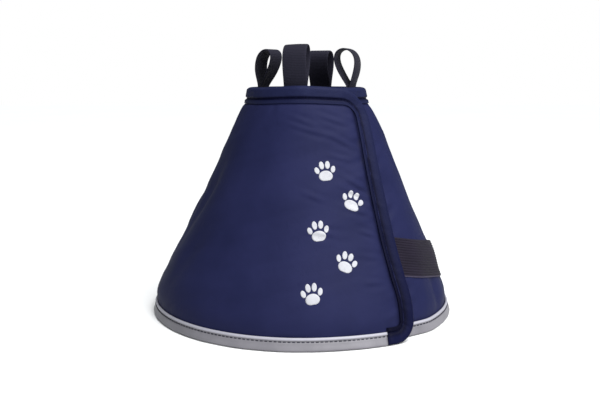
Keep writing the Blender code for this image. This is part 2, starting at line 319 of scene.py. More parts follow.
def smooth(share):
    """Ramp from 0 to 1 that starts and ends level: 3 s^2 - 2 s^3."""
    share = np.clip(share, 0, 1)
    return share * share * (3 - 2 * share)


def bell(x, width):
    """exp(-(x / width)^2)"""
    return np.exp(-(x / width) ** 2)


def wall_radius(height):
    """Neck radius plus the flare's share of the way to the hem radius."""
    return NECK_RADIUS + (HEM_RADIUS - NECK_RADIUS) * curve(height / HEIGHT, HEIGHTS, FLARES)


def stretch(height):
    """Level distance across the sloping wall for each metre of thickness."""
    low = np.maximum(height - BINDING_WIDTH / 4, 0)
    high = np.minimum(height + BINDING_WIDTH / 4, HEIGHT)
    return np.hypot(1, (wall_radius(low) - wall_radius(high)) / (high - low))


def flap_line(height):
    """Length round the wall from the front line to the flap's edge."""
    return NECK_REACH + (HEM_REACH - NECK_REACH) * curve(height / HEIGHT, HEIGHTS, REACHES)


def flap_turn(inset, height):
    """Turn of the point that lies inset from the flap's straight edge."""
    return 360 + np.degrees((flap_line(height) - inset) / (wall_radius(height) + FLAP_LIFT))


LAYER_STEP = BINDING_HALF + max(BINDING_HALF, STRAP_SEAT + STRAP_THICKNESS / 2) + CLEARANCE
LAYER_SHIFT = LAYER_STEP * stretch(HEIGHTS * HEIGHT).max()


def hidden_turn(inset, height):
    """Turn of the point that lies inset from the hidden end's straight edge."""
    return HIDDEN_END_TURN + np.degrees(inset / (wall_radius(height) - LAYER_SHIFT))


def past_flap(turn, height):
    """Length round the wall from the flap's edge to a point of the under layer."""
    return np.radians(turn + 360 - flap_turn(0, height)) * wall_radius(height)


def layer_offset(turn, height):
    """Level shift of a layer: the flap lifts, what lies under it is tucked in.

    Past the flap's edge the tucked layer comes out again within TUCK_RUN.
    """
    lift = FLAP_LIFT * smooth((turn - 360 - LIFT_START) / LIFT_SPAN)
    under = FLAP_LIFT * smooth((turn - LIFT_START) / LIFT_SPAN) - LAYER_SHIFT
    return lift + under * (1 - smooth(past_flap(turn, height) / TUCK_RUN))


def dent_offset(turn, height):
    """Sum of the dents, each a bell in turn times a bell in height."""
    total = 0
    for dent in DENTS:
        across = bell(turn - dent.turn, dent.wide)
        total = total - dent.depth * PADDING * across * bell(height / HEIGHT - dent.height, dent.tall)
    return total


def edge_rise(turn, height):
    """How far the soft neck edge stands above the level: a sum of bells by turn."""
    return sum(bump.at(turn) for bump in NECK_BUMPS) * smooth((height - RISE_FROM) / (HEIGHT - RISE_FROM))


def place(turn, height, out=0.0):
    """Point of the wrap: radius times (sin, -cos) of the turn, at its height.

    The radius is the cone's, plus the layer's shift, the dents and out.
    """
    turn, height, out = np.broadcast_arrays(turn, height, out)
    radius = wall_radius(height) + layer_offset(turn, height) + dent_offset(turn, height)
    radius = radius + out * stretch(height)
    angle = np.radians(turn)
    middle = NECK_SHIFT * height / HEIGHT
    level = height + edge_rise(turn, height)
    return np.stack([middle + radius * np.sin(angle), -radius * np.cos(angle), level], axis=-1)


def ripple(x, pitch, seed):
    """Smooth random line between -1 and 1, with one random height each pitch."""
    draws = np.random.default_rng(seed).uniform(-1, 1, RIPPLE_DRAWS)
    step = np.floor(x / pitch).astype(int)
    share = smooth(x / pitch - step)
    return draws[step % RIPPLE_DRAWS] * (1 - share) + draws[(step + 1) % RIPPLE_DRAWS] * share


def billow(x, y, pitch, seed):
    """Smooth random surface between -1 and 1 on a square net of random heights."""
    draws = np.random.default_rng(seed).uniform(-1, 1, (BILLOW_DRAWS, BILLOW_DRAWS))
    column, row = np.floor(x / pitch).astype(int), np.floor(y / pitch).astype(int)
    across, up = smooth(x / pitch - column), smooth(y / pitch - row)

    def along(row):
        left, right = (draws[row % BILLOW_DRAWS, (column + step) % BILLOW_DRAWS] for step in (0, 1))
        return left * (1 - across) + right * across

    return along(row) * (1 - up) + along(row + 1) * up


def cloth_place(turn, height):
    """Where a point lies on the flat cloth: the cone unrolled about its point."""
    slope = (HEM_RADIUS - NECK_RADIUS) / HEIGHT
    steep = slope / math.hypot(1, slope)
    fan = np.radians(turn - 200) * steep
    slant = wall_radius(height) / steep
    return np.stack([slant * np.sin(fan), slant * np.cos(fan)], axis=-1)


def seam_distances(turn, height):
    """Distance from a point of the wall to each of its four seams."""
    radius = wall_radius(height)
    flap = (flap_turn(0, height) - turn) * np.pi / 180 * radius - BINDING_WIDTH
    hidden = (turn - hidden_turn(0, height)) * np.pi / 180 * radius - BINDING_WIDTH
    neck = HEIGHT - BINDING_WIDTH - height
    hem = height - TAPE_WIDTH
    return flap, hidden, neck, hem


def seam_distance(turn, height):
    """Rounded least of the four distances: -b log of the sum of exp(-d / b)."""
    far = [np.exp(-np.clip(distance, -0.03, 0.2) / SEAM_BLEND) for distance in seam_distances(turn, height)]
    return -SEAM_BLEND * np.log(sum(far))


def puckers(turn, height):
    """Small wrinkles that run off each seam and fade as exp(-d / PUCKER_FADE).

    The last terms crease the under layer beside the flap's edge.
    """
    around = np.radians(turn) * wall_radius(height)
    lines = height, height, np.radians(turn) * NECK_RADIUS, around
    total = 0
    for (wave, slant), along, distance in zip(PUCKERS, lines, seam_distances(turn, height)):
        total = total + wave.at(along + slant * distance) * np.exp(-np.abs(distance) / PUCKER_FADE)
    covered = past_flap(turn, height)
    creases = UNDER_CREASED.at(covered) * CREASES.at(height - CREASE_SLANT * covered)
    return total + UNDER_VALLEY.at(covered) + creases


def turned(across, up, tilt):
    """Distances across and up, turned by a tilt in degrees."""
    tilt = np.radians(tilt)
    return across * np.cos(tilt) - up * np.sin(tilt), across * np.sin(tilt) + up * np.cos(tilt)


def leaning(mark, turn, height):
    """Distances along and across a mark that leans on the unrolled cloth."""
    sideways = np.radians(turn - mark.turn) * wall_radius(height)
    return turned(sideways, height - mark.height, -mark.lean)


def squeeze(turn, height):
    """How far the tight lower edge of the strap presses in: a bell each way."""
    return PRESS_AROUND.at(turn) * PRESS_UP.at(height)


def folds(turn, height):
    """Sum of the soft folds, each a long narrow bell on the unrolled cloth."""
    total = 0
    for fold in FOLDS:
        run, over = leaning(fold, turn, height)
        total = total - fold.depth * bell(run, fold.length) * bell(over, fold.width)
    return total


def wrinkles(turn, height):
    """Sum of the wrinkles: a bell along each, a cosine under a bell across it."""
    total = 0
    for wrinkle in WRINKLES:
        run, over = leaning(wrinkle, turn, height)
        wave = np.cos(np.pi * over / wrinkle.width) * bell(over, 1.5 * wrinkle.width)
        total = total + wrinkle.rise * bell(run, wrinkle.length) * wave
    return total


def face_out(turn, height, side):
    """How far the cloth of one face lies out from the wall's middle.

    The half thickness grows from the seams inwards as 1 - exp(-d / reach);
    puckers, folds and two sizes of billow are added once clear of the seam.
    """
    distance = seam_distance(turn, height)
    swell = 1 - np.exp(-np.maximum(distance, 0) / PUFF_REACH)
    out = side * (SEAM_HALF + (PUFF_HALF - SEAM_HALF) * swell)
    around = np.radians(turn) * wall_radius(height)
    seed = OUTER_SEED if side > 0 else INNER_SEED
    soft = puckers(turn, height) + folds(turn, height) + wrinkles(turn, height)
    for step, (rise, pitch) in enumerate(BILLOWS):
        soft = soft + rise * billow(around, height, pitch, seed + step)
    return out + soft * smooth(distance / SEAM_CLEARS) - squeeze(turn, height)


def panel_point(turn, height, side, over=0.0):
    """Point on the outer (side 1) or inner (side -1) face of the padded panel."""
    return place(turn, height, face_out(turn, height, side) + over)


def corner_inset(height):
    """How far the rounded end of the padded wall lies in from the flap's line."""
    inset = np.full_like(height, WALL_INSET)
    for radius, depth in ((HEM_CORNER, height), (NECK_CORNER, HEIGHT - height)):
        inner = radius - WALL_INSET
        bow = radius - np.sqrt(np.maximum(inner ** 2 - (radius - depth) ** 2, 0))
        inset = np.where(depth < radius, bow, inset)
    return inset


def link_grid(rows, columns):
    """Quads between neighbouring points of a grid, numbered row by row."""
    corner = (np.arange(rows - 1)[:, None] * columns + np.arange(columns - 1)).ravel()
    return np.stack([corner, corner + 1, corner + columns + 1, corner + columns], axis=1)


def border(rows, columns):
    """Indices round the edge of a grid, once round, ahead along the first row."""
    first = np.arange(columns)
    right = np.arange(1, rows) * columns + columns - 1
    last = (rows - 1) * columns + np.arange(columns - 2, -1, -1)
    left = np.arange(rows - 2, 0, -1) * columns
    return np.concatenate([first, right, last, left])


def add_object(name, data):
    """New object in the scene."""
    added = bpy.data.objects.new(name, data)
    bpy.context.scene.collection.objects.link(added)
    return added


def make_mesh(name, points, quads, cloth=None):
    """Mesh object from arrays of points and quads, and a UV map of cloth places."""
    mesh = bpy.data.meshes.new(name)
    mesh.vertices.add(len(points))
    mesh.vertices.foreach_set("co", points.astype(np.float32).ravel())
    mesh.loops.add(quads.size)
    mesh.loops.foreach_set("vertex_index", quads.astype(np.int32).ravel())
    mesh.polygons.add(len(quads))
    mesh.polygons.foreach_set("loop_start", np.arange(0, quads.size, quads.shape[1], dtype=np.int32))
    mesh.update(calc_edges=True)
    if cloth is not None:
        layer = mesh.uv_layers.new(name="cloth")
        layer.data.foreach_set("uv", cloth[quads.ravel()].astype(np.float32).ravel())
    mesh.validate()
    mesh.shade_smooth()
    return add_object(name, mesh)


def shell(name, top, under, cloth):
    """Closed shell: a top grid, an under grid turned over, and a rim between them."""
    rows, columns = top.shape[:2]
    count = rows * columns
    points = np.concatenate([top.reshape(-1, 3), under.reshape(-1, 3)])
    edge = border(rows, columns)
    ahead = np.roll(edge, -1)
    rim = np.stack([edge, edge + count, ahead + count, ahead], axis=1)
    face = link_grid(rows, columns)
    quads = np.concatenate([face, face[:, ::-1] + count, rim])
    flat = cloth.reshape(-1, 2)
    return make_mesh(name, points, quads, np.concatenate([flat, flat]))


def normals_of(grid):
    """Unit normals of a grid: along the rows crossed with along the columns."""
    down, across = np.gradient(grid, axis=0), np.gradient(grid, axis=1)
    normal = np.cross(across, down)
    return normal / np.linalg.norm(normal, axis=-1, keepdims=True)


def lengths_along(line):
    """Length from the start of a line of points to each of its points."""
    steps = np.linalg.norm(np.diff(line, axis=0), axis=1)
    return np.concatenate([[0], np.cumsum(steps)])


def cloth_of_grid(grid):
    """Flat places of a strip: length along its middle, and across each row."""
    rows, columns = grid.shape[:2]
    middle = lengths_along(grid[:, columns // 2])
    across = lengths_along(grid[rows // 2])
    return np.stack(np.broadcast_arrays(middle[:, None], across[None, :]), axis=-1)


def cloth_of_fold(grid, depth, out):
    """Flat places of a folded tape: length along its fold, and signed depth in."""
    cloth = cloth_of_grid(grid)
    cloth[..., 1] = np.where(out >= 0, depth, -depth)
    return cloth


def finish_piece(piece, material, slot, *nodes):
    """Gives a piece its material and body, and hides the model's parts it stands for; slot is not used."""
    piece.data.materials.append(material)
    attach(piece, "root")
    if nodes:
        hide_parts(*nodes)


def seam_shade(turn, height):
    """How far painted shade darkens the panel's colour, up to 1: a falling exp by the
    flap's seam, or a bell on the under layer by the flap's edge, whichever is more.
    """
    seam = PAINTED_SEAM_SHADE * np.exp(-np.abs(seam_distances(turn, height)[0]) / PAINTED_SEAM_SHADE_FADE)
    return np.maximum(seam, PAINTED_UNDER_FLAP_SHADE.at(past_flap(turn, height)))


def make_panel(material):
    """Padded wall: its outer and inner faces on one grid of turns and heights.

    The last quarter of the turns, in the flap, has the closer columns.
    """
    height = np.linspace(WALL_INSET, HEIGHT - WALL_INSET, PANEL_ROWS)
    share = np.concatenate([np.linspace(0, 0.75, PANEL_COLUMNS), np.linspace(0.75, 1, FLAP_COLUMNS)[1:]])
    start, end = hidden_turn(WALL_INSET, height), flap_turn(corner_inset(height), height)
    turn = start[:, None] + (end - start)[:, None] * share
    height = np.broadcast_to(height[:, None], turn.shape)
    faces = (panel_point(turn, height, side) for side in (1, -1))
    piece = shell("padded_panel_cloth", *faces, cloth_place(turn, height))
    # Painted shade, kept on the panel as the seam_shade attribute
    shade = np.tile(seam_shade(turn, height).ravel(), 2).astype(np.float32)
    piece.data.attributes.new("seam_shade", "FLOAT", "POINT").data.foreach_set("value", shade)
    finish_piece(piece, material, "navy_nylon", "padded_panel")


def fold_section(tape):
    """Section of a folded tape from its outer edge, round the fold, to its inner edge.

    The depth runs from the tape's width to 0 and back. The distance out is
    half times a quarter ellipse over the nose, falls by FOLD_FALL towards the
    stitch line, less a bell there, and ends at the lap over the wall's seam.
    Returns depth and out of the top, and depth and out of the under side.
    """
    line = tape.width - STITCH_LINE
    near = tape.nose * (1 - np.cos(np.linspace(0, np.pi / 2, NOSE_POINTS)))
    depth = np.concatenate([near, np.linspace(tape.nose, tape.width, FLAT_POINTS)[1:]])
    rounded = np.sqrt(np.clip(1 - (1 - np.minimum(depth / tape.nose, 1)) ** 2, 0, 1))
    fall = FOLD_FALL * smooth((depth - tape.nose) / (line - tape.nose))
    out = tape.half * rounded * (FOLD_CREST - fall)
    edge = smooth((depth - line) / STITCH_LINE)
    out = out * (1 - edge) + (SEAM_HALF + tape.lap + tape.wall) * edge
    out = out - tape.groove * bell(depth - line, GROOVE_WIDTH)
    under_depth = np.minimum(np.maximum(depth, tape.wall * UNDER_NOSE), tape.width - UNDER_SHORT)
    under_out = np.maximum(out - tape.wall, 0) * np.where(depth > 0, 1, 0)

    def both_faces(half_line, sign):
        return np.concatenate([half_line[::-1], sign * half_line[1:]])

    return both_faces(depth, 1), both_faces(out, -1), both_faces(under_depth, 1), both_faces(under_out, -1)


def edge_path():
    """Path of the flap's binding: insets from the flap's line, heights and angles.

    The neck corner comes first, then the straight edge, the hem corner and
    the end that is turned in; a depth from the edge runs in at the angle.
    """
    corner = np.linspace(0, np.pi / 2, CORNER_ROWS)
    straight = np.linspace(HEIGHT - NECK_CORNER, HEM_CORNER, STRAIGHT_ROWS)[1:-1]
    inset = np.concatenate([NECK_CORNER * (1 - np.sin(corner)), np.zeros(len(straight)),
                            HEM_CORNER * (1 - np.cos(corner)),
                            [HEM_CORNER + HEM_TURN_IN / 2, HEM_CORNER + HEM_TURN_IN]])
    height = np.concatenate([HEIGHT - NECK_CORNER * (1 - np.cos(corner)), straight,
                             HEM_CORNER * (1 - np.sin(corner)), [0, 0]])
    angle = np.concatenate([np.pi - corner, np.full(len(straight), np.pi / 2),
                            np.pi / 2 - corner, [0, 0]])
    return inset, height, angle


def binding_grid(depth, out):
    """Neck and flap binding, one row for each place along it.

    It is fuller here and there by a ripple along it, gathered by a ripple
    under a bell across it, and pressed thin by a bell on the flap.
    """
    level = HEIGHT - depth
    start, end = hidden_turn(BINDING_WIDTH + CLEARANCE, level), flap_turn(NECK_CORNER, level)
    neck_turn = start + (end - start) * np.linspace(0, 1, NECK_ROWS)[:-1, None]
    neck_height = np.broadcast_to(level, neck_turn.shape)
    inset, height, angle = (line[:, None] for line in edge_path())
    flap_height = height + depth * np.cos(angle)
    turn = np.concatenate([neck_turn, flap_turn(inset + depth * np.sin(angle), flap_height)])
    height = np.concatenate([neck_height, flap_height])
    path = lengths_along(place(turn[:, len(depth) // 2], height[:, len(depth) // 2]))[:, None]
    gathers = GATHERED.at(depth) * GATHERS.at(path + depth * GATHER_SLANT)
    pressed = FLAP_PRESSED.at(depth) * smooth((turn - PRESSED_FROM) / PRESSED_SPAN)
    return place(turn, height, out * (1 + BINDING_FULLNESS.at(path) + gathers - pressed))


def seam_threads(grid, column, pitch):
    """Stitch frames along one column of a grid: centre, ahead, side and outward."""
    low = int(column)
    share = column - low
    out = normals_of(grid)
    line = grid[:, low] * (1 - share) + grid[:, low + 1] * share
    normal = out[:, low] * (1 - share) + out[:, low + 1] * share
    length = lengths_along(line)
    place_at = np.arange(pitch, length[-1] - pitch / 2, pitch)

    def sample(values):
        return np.stack([np.interp(place_at, length, values[:, axis]) for axis in range(3)], axis=1)

    ahead = sample(np.gradient(line, axis=0))
    ahead /= np.linalg.norm(ahead, axis=1, keepdims=True)
    side = np.cross(sample(normal), ahead)
    side /= np.linalg.norm(side, axis=1, keepdims=True)
    return sample(line), ahead, side, np.cross(ahead, side)


def stitch_runs(grid, depth, line, pitch):
    """Stitch frames on both faces of a folded tape, along a depth from its fold."""
    half = len(depth) // 2
    short_of_last = len(depth) - 1.001
    column = np.interp(-line, -depth[:half], np.arange(half))
    return [seam_threads(grid, column, pitch), seam_threads(grid, short_of_last - column, pitch)]


def ring_quads(rings, sides):
    """Quads between rings of points, numbered ring by ring."""
    here = np.arange(sides)
    after = (here + 1) % sides
    near = np.arange(rings - 1)[:, None] * sides
    far = near + sides
    return np.stack([near + here, far + here, far + after, near + after], axis=-1).reshape(-1, 4)


def make_stitches(name, runs, stitch, material, slot):
    """Thread: one stitch at each frame, a bead of six sides pointed at both ends.

    A stitch's radius is the thread's times the root of 1 - t^4, t from -1 to
    1 along it, and its ends dip into the cloth by a square law.
    """
    sides, rings = BEAD_SIDES, len(BEAD_RINGS)
    ring = np.radians(np.arange(sides) * 360 / sides)
    radius = stitch.radius * np.sqrt(np.clip(1 + BEAD_END - BEAD_RINGS ** 4, BEAD_END, None))
    ahead_part = np.repeat(BEAD_RINGS * stitch.length / 2, sides)
    dip = np.repeat(stitch.radius * (BEAD_STANDS - BEAD_DIPS * BEAD_RINGS ** 2), sides)
    side_part = (radius[:, None] * np.cos(ring)).ravel()
    out_part = (radius[:, None] * np.sin(ring)).ravel() + dip
    frames = [np.concatenate(parts)[:, None] for parts in zip(*runs)]
    points = frames[0]
    for part, direction in zip((ahead_part, side_part, out_part), frames[1:]):
        points = points + part[:, None] * direction
    cap = np.array([[0, 1, 2, 3], [0, 3, 4, 5]])
    tube = np.roll(ring_quads(rings, sides), -1, axis=1)
    quads = np.concatenate([tube, cap[:, ::-1], cap + (rings - 1) * sides])
    quads = (quads[None] + (np.arange(len(points)) * rings * sides)[:, None, None]).reshape(-1, 4)
    finish_piece(make_mesh(name, points.reshape(-1, 3), quads), material, slot)


def make_edge_binding(material, thread):
    """Neck and flap binding with its two rows of stitches."""
    depth, out, under_depth, under_out = fold_section(BINDING)
    top, under = binding_grid(depth, out), binding_grid(under_depth, under_out)
    piece = shell("edge_binding_cloth", top, under, cloth_of_fold(top, depth, out))
    finish_piece(piece, material, "navy_binding", "neck_binding", "flap_binding")
    runs = stitch_runs(top, depth, BINDING_WIDTH - STITCH_LINE, BINDING_STITCH.pitch)
    make_stitches("edge_binding_stitches", runs, BINDING_STITCH, thread, "navy_binding")


def make_hidden_binding(material):
    """Binding of the hidden end: the same section, straight down the wall's start.

    Its two ends are pressed flat, by a quarter circle, where they are cut.
    """
    depth, out, under_depth, under_out = fold_section(BINDING)
    height = (HEIGHT * (1 + np.cos(np.linspace(0, np.pi, HIDDEN_ROWS))) / 2)[:, None]
    near_end = np.minimum(np.minimum(height, HEIGHT - height) / END_RUN, 1)
    pressed = END_FLAT + (1 - END_FLAT) * np.sqrt(1 - (1 - near_end) ** 2)
    top = place(hidden_turn(depth, height), height, out * pressed)
    under = place(hidden_turn(under_depth, height), height, under_out * pressed)
    piece = shell("inner_end_binding_cloth", top, under, cloth_of_fold(top, depth, out))
    finish_piece(piece, material, "navy_binding", "inner_end_binding")


def tape_grid(depth, out):
    """Hem tape, one row for each place round the hem, fuller here and there."""
    start = hidden_turn(BINDING_WIDTH + CLEARANCE, depth)
    end = flap_turn(HEM_CORNER + HEM_TURN_IN + CLEARANCE, depth)
    turn = end + (start - end) * np.linspace(0, 1, TAPE_ROWS)[:, None]
    around = np.radians(turn) * HEM_RADIUS
    full = 1 + TAPE_BROAD.at(around) + TAPE_FINE.at(around + depth)
    return place(turn, np.broadcast_to(depth, turn.shape), out * full)[::-1, ::-1]


def make_hem_tape(material, thread):
    """Reflective tape folded round the hem, with a raised piping along its top edge."""
    depth, out, under_depth, under_out = fold_section(HEM_TAPE)
    out = out + np.sign(out) * (PIPING.at(depth) + TAPE_GROOVE.at(depth))
    top, under = tape_grid(depth, out), tape_grid(under_depth, under_out)
    piece = shell("hem_tape_cloth", top, under, cloth_of_fold(top, depth[::-1], out[::-1]))
    finish_piece(piece, material, "reflective_tape", "hem_tape")
    runs = stitch_runs(top, depth, TAPE_WIDTH - TAPE_STITCH_LINE, TAPE_STITCH.pitch)
    make_stitches("hem_tape_stitches", runs, TAPE_STITCH, thread, "reflective_tape")


def teardrop(share):
    """Rise (1 - cos a) / 2 and swing sin a * sin(a / 2)^taper, each at most 1."""
    angle = 2 * np.pi * share
    more, most = LOOP_TAPER + 1, LOOP_TAPER + 2
    widest = 2 * (more / most) ** (more / 2) / math.sqrt(most)
    swing = np.sin(angle) * np.sin(angle / 2) ** LOOP_TAPER / widest
    return (1 - np.cos(angle)) / 2, swing


def loop_grid(loop, across):
    """Middle of a loop's webbing: up the neck's inside, round the teardrop, down."""
    wall_side = -(BINDING_HALF + CLEARANCE + WEBBING_THICKNESS / 2)
    free_side = wall_side - WEBBING_THICKNESS - WEBBING_SLIT
    half = math.degrees(WEBBING_WIDTH / 2 / (wall_radius(HEIGHT) + wall_side))
    turn = loop.turn + half * across
    sewn = np.linspace(HEIGHT - LOOP_SEWN, HEIGHT, SEWN_ROWS)[:-1, None]
    share = np.linspace(0, 1, LOOP_ROWS)
    rise, swing = teardrop(share)
    side = wall_side + (free_side - wall_side) * smooth(share)
    base = place(turn[None, :], HEIGHT, side[:, None])
    angle = math.radians(loop.turn)
    outward = np.array([math.sin(angle), -math.cos(angle), 0])
    flat = base[:, len(across) // 2] @ outward
    reach = swing * loop.opening * (LOOP_OPENING - WEBBING_THICKNESS) / 2 - rise * loop.lean * LOOP_LEAN
    slide = reach[:, None] + rise[:, None] * (flat[:, None] - base @ outward)
    free = base + slide[..., None] * outward
    free[..., 2] += (rise * loop.rise * LOOP_RISE)[:, None]
    foot = base[:, len(across) // 2][:, None, :2]
    x, y = (free[..., axis] - foot[..., axis] for axis in (0, 1))
    x, y = turned(x, y, loop.twist * smooth(2 * rise)[:, None])
    sway = loop.sway * rise[:, None, None] * np.array([math.cos(angle), math.sin(angle)])
    free[..., :2] = foot + np.stack([x, y], axis=-1) + sway
    up, down = place(turn, sewn, wall_side), place(turn, sewn[::-1], free_side)
    return np.concatenate([up, free, down])


def thicken(grid, half):
    """Top and under faces of a strip: its middle moved along its normals."""
    normal = normals_of(grid)
    return grid + normal * half[..., None], grid - normal * half[..., None]


def make_loop(loop, material):
    """Webbing loop with rounded, slightly thicker selvedges."""
    across = np.sin(np.linspace(-np.pi / 2, np.pi / 2, LOOP_COLUMNS))
    grid = loop_grid(loop, across)
    half = WEBBING_THICKNESS / 2 * np.sqrt(np.clip(1 - np.abs(across) ** 12, 0.02, 1))
    half = half * (1 - SELVEDGE.rise + SELVEDGE.at(np.abs(across)))
    top, under = thicken(grid, np.broadcast_to(half, grid.shape[:2]))
    piece = shell(loop.name + "_webbing", top, under, cloth_of_grid(grid))
    finish_piece(piece, material, "black_webbing", loop.name)


def make_strap(material):
    """Ribbed belt: each rib is half a sine across the belt, run along its length."""
    share = np.linspace(0, 1, STRAP_ROWS)[:, None]
    turn = STRAP_START_TURN + (STRAP_END_TURN - STRAP_START_TURN) * share
    middle = STRAP_HEIGHT - STRAP_FALL * share
    gape = STRAP_GAPE * smooth((share - GAPE_START) / GAPE_OPENS) * smooth((1 - share) / GAPE_CLOSES)
    wall_slope = np.sqrt(stretch(middle) ** 2 - 1)
    rise = STRAP_WIDTH / np.hypot(1, wall_slope - gape * stretch(middle) / STRAP_WIDTH)
    across = np.linspace(-0.5, 0.5, STRAP_RIBS * RIB_COLUMNS + 1)
    height = middle + across * rise
    turn = np.broadcast_to(turn, height.shape)
    seat = STRAP_SEAT + gape * (across + 0.5) + STRAP_SWAY.at(share * STRAP_RUN)
    grid = place(turn, height, seat - squeeze(turn, height))
    rib = np.abs(np.sin(np.pi * (across + 0.5) * STRAP_RIBS)) ** 0.7
    half = (STRAP_THICKNESS / 2 - RIB_DEPTH) + RIB_DEPTH * rib
    half = half * np.sqrt(np.clip(1 - np.abs(2 * across) ** 40, 0.05, 1))
    inward, outward = thicken(grid, np.broadcast_to(half, grid.shape[:2]))
    piece = shell("closure_strap_ribbed", outward[::-1], inward[::-1], cloth_of_grid(grid)[::-1])
    finish_piece(piece, material, "ribbed_strap", "closure_strap")


def pad_grid(paw, pad):
    """Places on the cloth of one pad: an ellipse of rings; a heel is dented at its foot."""
    ring = np.linspace(0, 1, PAD_RINGS)[:, None]
    angle = np.radians(np.linspace(0, 360, PAD_SIDES, endpoint=False))
    dent = HEEL_DENT * bell(np.abs(angle - 1.5 * np.pi), HEEL_DENT_ANGLE) * (pad.wide > HEEL_SIZE)
    across = pad.wide * ring * np.cos(angle) * (1 - dent)
    across, up = turned(across, pad.tall * ring * np.sin(angle) * (1 - dent), pad.tilt)
    side, up = turned(across + pad.across, up + pad.up, -paw.tilt)
    return paw.turn + np.degrees(PAW_SIZE * side / wall_radius(paw.height)), paw.height + PAW_SIZE * up


def make_print(material):
    """Trail of paw prints: films that follow the panel's cloth.

    A film's thickness falls to its edge as the root of 1 - r^8.
    """
    film = PRINT_FILM * np.sqrt(1 - np.linspace(0, 1, PAD_RINGS)[:, None] ** 8 * FILM_ROUNDING)
    edge, count = (PAD_RINGS - 1) * PAD_SIDES, PAD_RINGS * PAD_SIDES
    face, rim = ring_quads(PAD_RINGS, PAD_SIDES), ring_quads(2, PAD_SIDES)
    rim = rim + edge + (rim >= PAD_SIDES) * (count - PAD_SIDES)
    pad_quads = np.concatenate([face, face[:, ::-1] + count, rim])
    points, quads = [], []
    for paw in PAWS:
        for pad in PADS:
            quads.append(pad_quads + len(points) * count)
            for over in (film, -PRINT_SUNK):
                points.append(panel_point(*pad_grid(paw, pad), 1, over).reshape(-1, 3))
    piece = make_mesh("paw_prints", np.concatenate(points), np.concatenate(quads))
    finish_piece(piece, material, "reflective_tape")


def feed(tree, value, socket):
    """Links an output to a socket, or gives the socket a value of its own."""
    if isinstance(value, bpy.types.NodeSocket):
        tree.links.new(value, socket)
    else:
        socket.default_value = value


def add_node(tree, kind, inputs=(), **settings):
    """Outputs of a new shader node; its inputs are fed outputs or values."""
    node = tree.nodes.new("ShaderNode" + kind)
    for name, value in settings.items():
        setattr(node, name, value)
    for name, value in dict(inputs).items():
        feed(tree, value, node.inputs[name])
    return node.outputs


def maths(tree, operation, *values):
    """Output of a math node on outputs or numbers."""
    return add_node(tree, "Math", enumerate(values), operation=operation)[0]


def new_group(name, numbers, outputs):
    """Node group that takes a place and some numbers, and puts out others."""
    tree = bpy.data.node_groups.new(name, "ShaderNodeTree")
    tree.interface.new_socket("Place", in_out="INPUT", socket_type="NodeSocketVector")
    for labels, side in ((numbers, "INPUT"), (outputs, "OUTPUT")):
        for label in labels:
            tree.interface.new_socket(label, in_out=side, socket_type="NodeSocketFloat")
    return tree, tree.nodes.new("NodeGroupInput").outputs, tree.nodes.new("NodeGroupOutput").inputs


def noise_at(tree, place_at, scale, **shape):
    """Height of a noise texture at a place."""
    return add_node(tree, "TexNoise", {"Vector": place_at, "Scale": scale, **shape})["Fac"]


def weave_group():
    """Plain weave: sin(x) sin(y) over warp and weft, roughened by a fine noise."""
    tree, given, put = new_group("weave", ("Warp", "Weft", "Slub"), ("Height", "Mask"))
    waves = []
    for along, pitch in zip(add_node(tree, "SeparateXYZ", {0: given["Place"]}), ("Warp", "Weft")):
        turns = maths(tree, "DIVIDE", along, given[pitch])
        waves.append(maths(tree, "SINE", maths(tree, "MULTIPLY", turns, math.pi)))
    crossing = maths(tree, "ABSOLUTE", maths(tree, "MULTIPLY", *waves))
    slub = maths(tree, "MULTIPLY", noise_at(tree, given["Place"], SLUBS_A_METRE, Detail=2), given["Slub"])
    feed(tree, maths(tree, "ADD", crossing, slub), put["Height"])
    feed(tree, crossing, put["Mask"])
    return tree


def crumple_group():
    """Soft creases of thin coated cloth: a broad noise less a fine, ridged one."""
    tree, given, put = new_group("crumple", ("Scale", "Ridges"), ("Height", "Shade"))
    broad = noise_at(tree, given["Place"], given["Scale"], Detail=3)
    scale = maths(tree, "MULTIPLY", given["Scale"], RIDGE_SCALE)
    fine = noise_at(tree, given["Place"], scale, Detail=4, Distortion=RIDGE_DISTORTION)
    bent = maths(tree, "ABSOLUTE", maths(tree, "SUBTRACT", fine, 0.5))
    feed(tree, maths(tree, "SUBTRACT", broad, maths(tree, "MULTIPLY", bent, given["Ridges"])), put["Height"])
    feed(tree, broad, put["Shade"])
    return tree


SLUBS_A_METRE = 900
RIDGE_SCALE, RIDGE_DISTORTION = 4.2, 0.6
WEAVE = weave_group()
CRUMPLE = crumple_group()


